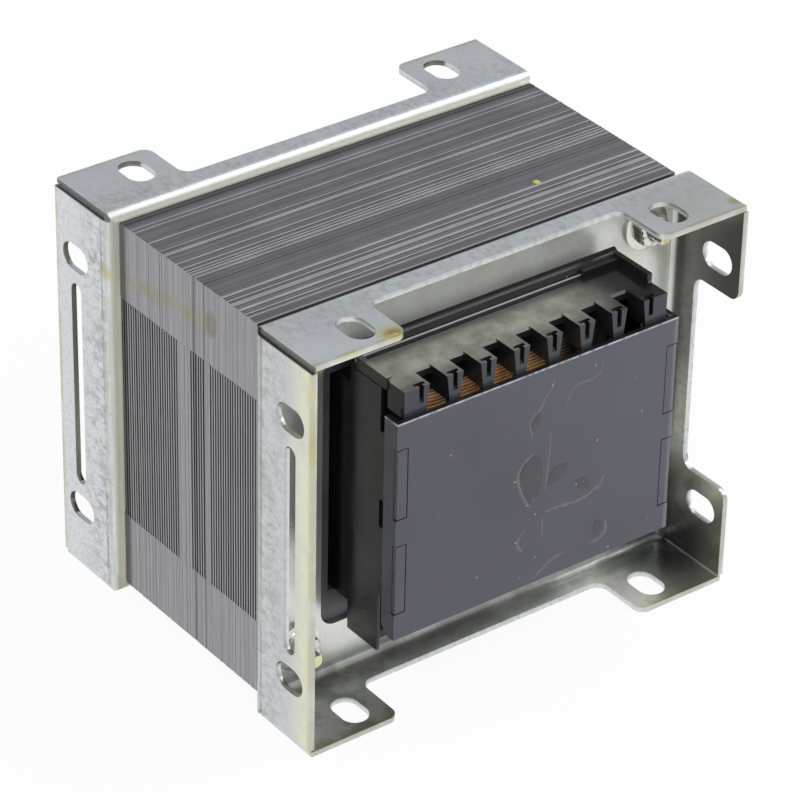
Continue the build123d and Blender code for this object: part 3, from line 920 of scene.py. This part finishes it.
nut_rows = [
    (washer_front, bore), (washer_front, half_flats - 0.05), (washer_front - 0.1, half_flats + 0.2),
    (washer_front - 0.24, corner_r), (nut_front + 0.36, corner_r), (nut_front + 0.26, half_flats + 0.26),
    (nut_front + 0.12, half_flats + 0.06), (nut_front, half_flats - 0.18), (nut_front, bore + 0.22),
    (nut_front + 0.25, bore), (washer_front, bore),
]
washer_rows = [
    (hole, RING_FACE), (WASHER_R - 0.1, RING_FACE), (WASHER_R, RING_FACE - 0.1),
    (WASHER_R, washer_front + 0.2), (WASHER_R - 0.06, washer_front + 0.07), (WASHER_R - 0.2, washer_front),
    (hole + 0.12, washer_front), (hole, washer_front + 0.12), (hole, RING_FACE),
]
head_rows = [
    (-RING_FACE, AXIS_R), (-RING_FACE, half_flats - 0.05), (-RING_FACE + 0.1, half_flats + 0.2),
    (-RING_FACE + 0.22, corner_r), (head_back - 0.38, corner_r), (head_back - 0.26, half_flats + 0.26),
    (head_back - 0.1, half_flats + 0.04), (head_back, half_flats - 0.18), (head_back, AXIS_R),
]
nut_parts, washer_parts, bolt_parts = [], [], []
for centre in [(sx * BOLT_X, z) for sx in (-1, 1) for z in BOLT_Z]:
    nut_parts.append(placed(hex_profile(nut_rows), centre, rng.uniform(0.0, math.pi / 3)))
    washer_parts.append(lathe(washer_rows, 64, centre))
    bolt_parts.append(lathe(bolt_profile(), 40, centre))
    bolt_parts.append(placed(hex_profile(head_rows), centre, rng.uniform(0.0, math.pi / 3)))
for name, parts, node in (
    ("nuts_form", nut_parts, "clamp_nuts"),
    ("washers_form", washer_parts, "front_washers"),
    ("bolts_form", bolt_parts, "clamp_bolts"),
):
    piece = add_mesh(name, joined(parts), bright, sharp=28)
    reworked(piece, welded_out)
    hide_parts(node)


# Dried varnish: two drops where the dip ran off, as centre, reach across, reach along and height

DROPS = (
    ((21.7, -8.9, 74.17), 0.55, 0.75, 0.35),
    ((-28.6, -35.9, FRAME_TOP - 0.02), 1.3, 0.45, 0.10),
)


def drop(centre, across, along, height, steps=20, rings=6):
    """A low round drop on a level surface, its edge sunk a little."""
    verts = [(centre[0], centre[1], centre[2] + height)]
    for ring in range(1, rings + 1):
        t = ring / rings
        for k in range(steps):
            turn = 2 * math.pi * k / steps
            wobble = 1.0 + 0.16 * math.sin(2 * turn + centre[0]) + 0.09 * math.sin(5 * turn)
            verts.append((
                centre[0] + across * t * wobble * math.cos(turn),
                centre[1] + along * t * wobble * math.sin(turn),
                centre[2] + height * math.sqrt(max(0.0, 1.0 - t * t)) - 0.02 * t,
            ))
    faces = [(0, 1 + k, 1 + (k + 1) % steps) for k in range(steps)]
    faces += [(1 + a, 1 + d, 1 + c, 1 + b) for a, b, c, d in ring_faces(rings, steps)]
    return verts, faces


add_mesh("varnish_drops", joined([drop(*row) for row in DROPS]), varnish, sharp=80)


# Runs, pools and specks of dried film on the front cover, as (x, z) on its face

# Half width and line of each run

RUNS = (
    (0.34, ((2.8, 57.4), (2.5, 55.8), (1.1, 54.3), (0.2, 52.6), (-1.3, 51.4), (-2.0, 50.0), (-1.2, 47.6))),
    (0.30, ((12.9, 56.9), (12.6, 55.0), (10.4, 54.4), (7.4, 54.4), (6.4, 53.1), (5.4, 50.4))),
    (0.42, ((-0.6, 44.3), (-2.8, 43.0), (-4.0, 41.4), (-3.9, 39.3), (-2.9, 36.5), (-1.3, 33.7))),
    (0.26, ((2.5, 47.6), (2.4, 43.2), (2.1, 39.1), (1.8, 35.7))),
    (0.44, ((14.2, 34.5), (13.9, 32.9), (12.4, 32.0))),
    (0.40, ((13.1, 32.8), (10.9, 31.5), (7.9, 31.3), (4.1, 31.7), (1.8, 31.5))),
    (0.44, ((15.1, 24.9), (15.4, 23.0), (14.1, 21.7), (11.8, 21.5))),
    (0.34, ((-1.8, 29.7), (-3.3, 28.5), (-3.6, 26.9), (-2.4, 25.3))),
    (0.40, ((6.5, 21.8), (3.8, 21.4), (2.0, 20.4), (0.5, 19.2))),
    (0.22, ((1.5, 30.9), (1.5, 26.7))),
    (0.16, ((-20.9, 39.2), (-20.3, 40.3))),
)
POOLS = (
    ((2.3, 36.6), (2.6, 38.9), (4.1, 39.8), (6.8, 39.6), (6.0, 37.6), (4.2, 36.6)),
    (
        (-0.6, 44.0), (-2.6, 42.8), (-3.7, 41.2), (-3.6, 39.2), (-2.6, 36.5), (-1.2, 34.4), (0.9, 35.8),
        (1.4, 39.5), (1.0, 42.6),
    ),
    ((0.0, 52.2), (-1.3, 51.2), (-1.8, 49.9), (-1.0, 48.2), (0.4, 49.6)),
    ((8.2, 35.4), (9.4, 33.2), (11.2, 32.6), (11.6, 34.0), (10.2, 35.6)),
    ((13.0, 25.6), (12.4, 23.6), (13.4, 22.4), (14.9, 23.2), (14.6, 25.0)),
)
SPECKS = (
    (-4.7, 40.0), (-0.1, 31.9), (-2.0, 34.4), (2.5, 56.2), (11.4, 56.8), (-0.6, 34.9), (-4.0, 27.7),
    (0.3, 23.2), (16.2, 19.1), (12.6, 41.8), (8.5, 34.6), (10.0, 34.7), (13.6, 24.1), (-12.0, 24.0),
    (-18.2, 50.3), (22.0, 44.0),
)


def between(a, b, c, d, t):
    """The value at the share t of the way from b to c on a smooth line through a, b, c and d."""
    bend = 2 * a - 5 * b + 4 * c - d
    twist = 3 * b - a - 3 * c + d
    return 0.5 * (2 * b + (c - a) * t + bend * t * t + twist * t ** 3)


def smooth_line(points, steps=6):
    """Points along a smooth line through the given ones."""
    ends = [points[0]] + list(points) + [points[-1]]
    line = []
    for k in range(1, len(ends) - 2):
        for j in range(steps):
            line.append(tuple(between(*four, j / steps) for four in zip(*ends[k - 1:k + 3])))
    line.append(tuple(points[-1]))
    return line


def ridge(points, half_width, height, rows=7):
    """A low rounded ridge on the cover's face along a line, uneven and thinning to its ends."""
    line = smooth_line(points)
    verts = []
    faces = []
    for k, (px, pz) in enumerate(line):
        ax, az = line[max(0, k - 1)]
        bx, bz = line[min(len(line) - 1, k + 1)]
        length = math.hypot(bx - ax, bz - az)
        side = (-(bz - az) / length, (bx - ax) / length)
        share = math.sin(math.pi * (k + 0.5) / len(line)) ** 0.5 * (0.8 + 0.35 * math.sin(2.3 * k + px))
        for j in range(rows):
            t = 2 * j / (rows - 1) - 1
            rise = height * share * math.sqrt(1 - t * t)
            out_x = side[0] * half_width * share * t
            out_z = side[1] * half_width * share * t
            verts.append((px + out_x, COVER_FRONT + FILM_SUNK - rise, pz + out_z))
    for k in range(len(line) - 1):
        for j in range(rows - 1):
            a = k * rows + j
            faces.append((a, a + 1, a + rows + 1, a + rows))
    return verts, faces


def pool(points):
    """A thin pool on the cover's face inside a line, with a rounded edge."""
    line = smooth_line(list(points) + [points[0]])[:-1]
    count = len(line)
    cx = sum(p[0] for p in line) / count
    cz = sum(p[1] for p in line) / count
    rings = ((1.0, -FILM_SUNK), (0.97, 0.5 * POOL_RISE), (0.92, 0.85 * POOL_RISE), (0.85, POOL_RISE))
    verts = []
    for share, rise in rings:
        for px, pz in line:
            verts.append((cx + share * (px - cx), COVER_FRONT - rise, cz + share * (pz - cz)))
    top = tuple(range((len(rings) - 1) * count, len(rings) * count))
    return verts, ring_faces(len(rings), count) + [top]


def speck(px, pz):
    points = ((px - 0.12, pz - 0.1), (px, pz), (px + 0.14, pz + 0.12))
    return ridge(points, rng.uniform(0.10, 0.2), SPECK_RISE)


def turned_front(bm):
    bmesh.ops.reverse_faces(bm, faces=[face for face in bm.faces if face.normal.y > 0])


for name, parts, material, sharp in (
    ("film_runs", [ridge(points, width, RUN_RISE) for width, points in RUNS], film_rim, 80),
    ("film_pools", [pool(points) for points in POOLS], film_pool, 60),
    ("film_specks", [speck(px, pz) for px, pz in SPECKS], film_speck, 80),
):
    reworked(add_mesh(name, joined(parts), material, sharp=sharp), turned_front)


# Floor, light and camera, in metres

FLOOR_REACH = 6.0
FLOOR_TONE = (0.88, 0.88, 0.88, 1.0)
FLOOR_GLOW = 0.93
SKY = ((0.0, (0.80, 0.80, 0.80)), (0.45, (0.50, 0.51, 0.53)), (1.0, (0.42, 0.43, 0.45)))
LIGHT_TARGET = Vector((0.0, 0.0, 0.04))
# Name, place, size and energy of each lamp
LAMPS = (
    ("key", (-0.55, -0.75, 0.85), (0.7, 0.5), 6.0),
    ("fill", (0.9, -0.45, 0.55), (0.5, 0.6), 2.0),
    ("bends", (0.56, 0.02, 0.96), (0.6, 0.45), 1.7),
    ("edges", (0.63, -0.62, 0.85), (0.35, 0.3), 1.0),
)
# The camera as solved from the photo's straight edges
CAMERA_PLACE = (-0.356844, -0.466273, 0.403860)
CAMERA_RIGHT = Vector((0.799138, -0.600825, 0.019683))
CAMERA_DOWN = Vector((-0.306045, -0.434807, -0.846924))
CAMERA_AHEAD = Vector((0.517411, 0.670785, -0.531350))
CAMERA_SENSOR = 36.0
CAMERA_LENS = 182.461
CAMERA_SHIFT = (-0.012223, -0.006656)


def floor_material():
    """Pale floor that looks nearly white to the camera and in reflections, and matt to other light."""
    mat = bpy.data.materials.new("floor")
    mat.use_nodes = True
    tree = mat.node_tree
    tree.nodes.clear()
    out = tree.nodes.new("ShaderNodeOutputMaterial")
    diffuse = tree.nodes.new("ShaderNodeBsdfDiffuse")
    diffuse.inputs["Color"].default_value = FLOOR_TONE
    glow = tree.nodes.new("ShaderNodeEmission")
    glow.inputs["Color"].default_value = (1.0, 1.0, 1.0, 1.0)
    glow.inputs["Strength"].default_value = 1.0
    path = tree.nodes.new("ShaderNodeLightPath")
    seen = tree.nodes.new("ShaderNodeMath")
    seen.operation = "MAXIMUM"
    tree.links.new(path.outputs["Is Camera Ray"], seen.inputs[0])
    tree.links.new(path.outputs["Is Glossy Ray"], seen.inputs[1])
    share = tree.nodes.new("ShaderNodeMath")
    share.operation = "MULTIPLY"
    tree.links.new(seen.outputs[0], share.inputs[0])
    share.inputs[1].default_value = FLOOR_GLOW
    blend = tree.nodes.new("ShaderNodeMixShader")
    tree.links.new(share.outputs[0], blend.inputs[0])
    tree.links.new(diffuse.outputs[0], blend.inputs[1])
    tree.links.new(glow.outputs[0], blend.inputs[2])
    tree.links.new(blend.outputs[0], out.inputs["Surface"])
    return mat


def studio_world():
    """An even studio, lighter towards the horizon."""
    world = bpy.data.worlds.new("studio")
    world.use_nodes = True
    tree = world.node_tree
    coord = tree.nodes.new("ShaderNodeTexCoord")
    split = tree.nodes.new("ShaderNodeSeparateXYZ")
    sky = tree.nodes.new("ShaderNodeValToRGB")
    set_stops(sky.color_ramp, SKY)
    background = tree.nodes["Background"]
    background.inputs["Strength"].default_value = 1.0
    tree.links.new(coord.outputs["Generated"], split.inputs[0])
    tree.links.new(split.outputs[2], sky.inputs["Fac"])
    tree.links.new(sky.outputs["Color"], background.inputs["Color"])
    return world


def softbox(name, place, size, energy):
    light = bpy.data.lights.new(name, "AREA")
    light.shape = "RECTANGLE"
    light.size, light.size_y = size
    light.energy = energy
    lamp = linked(name, light)
    lamp.location = place
    lamp.rotation_euler = (LIGHT_TARGET - Vector(place)).to_track_quat("-Z", "Y").to_euler()


floor_mesh = bpy.data.meshes.new("floor")
floor_corners = [(sx * FLOOR_REACH, sy * FLOOR_REACH, 0) for sx, sy in ((-1, -1), (1, -1), (1, 1), (-1, 1))]
floor_mesh.from_pydata(floor_corners, [], [(0, 1, 2, 3)])
floor_mesh.materials.append(floor_material())
floor = linked("floor", floor_mesh)

bpy.context.scene.world = studio_world()
for name, place, size, energy in LAMPS:
    softbox(name, place, size, energy)

camera_data = bpy.data.cameras.new("camera")
camera_data.sensor_width = CAMERA_SENSOR
camera_data.lens = CAMERA_LENS
camera_data.shift_x, camera_data.shift_y = CAMERA_SHIFT
camera = linked("camera", camera_data)
camera_turn = Matrix((CAMERA_RIGHT, -CAMERA_DOWN, -CAMERA_AHEAD)).transposed()
camera.matrix_world = Matrix.Translation(CAMERA_PLACE) @ camera_turn.to_4x4()
bpy.context.scene.camera = camera
bpy.context.scene.view_settings.view_transform = "Standard"
